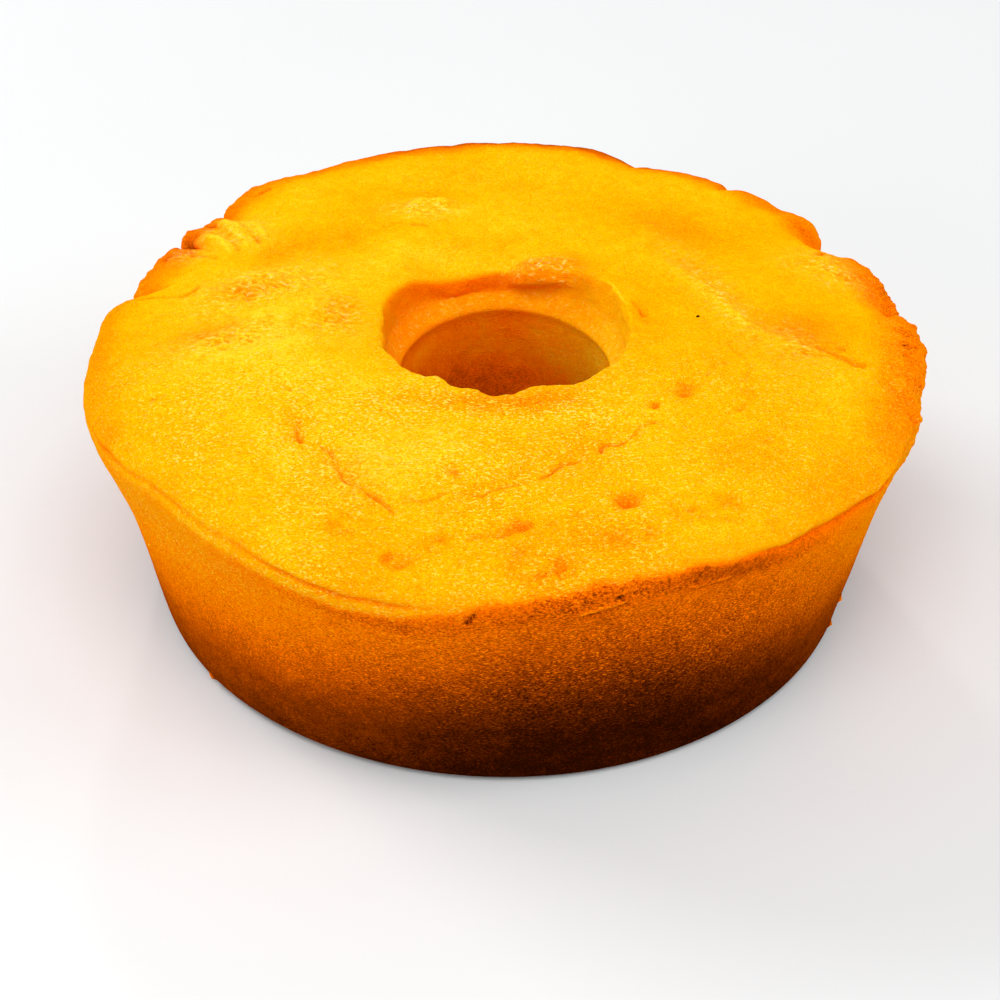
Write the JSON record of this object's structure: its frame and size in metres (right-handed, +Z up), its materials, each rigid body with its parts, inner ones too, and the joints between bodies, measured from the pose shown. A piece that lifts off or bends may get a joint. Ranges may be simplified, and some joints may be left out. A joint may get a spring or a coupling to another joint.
{
  "type": "corn cake",
  "caption": "Round yellow corn cake baked in a plain tube pan, with tapered browned sides, a lumpy risen top and a hole through the middle.",
  "frame": {"origin": "middle of the flat base, on the surface the cake stands on", "axes": "+Z up, along the axis of the hole; -Y is the side the picture is taken from and +X is its right"},
  "size_m": [0.2245, 0.2227, 0.0817],
  "materials": {
    "crust": "baked cake crust: golden yellow and faintly oily on top, browning to orange at the edge and to dark brown down the side"
  },
  "bodies": {
    "root": {"corn_cake": "crust"}
  },
  "joints": []
}
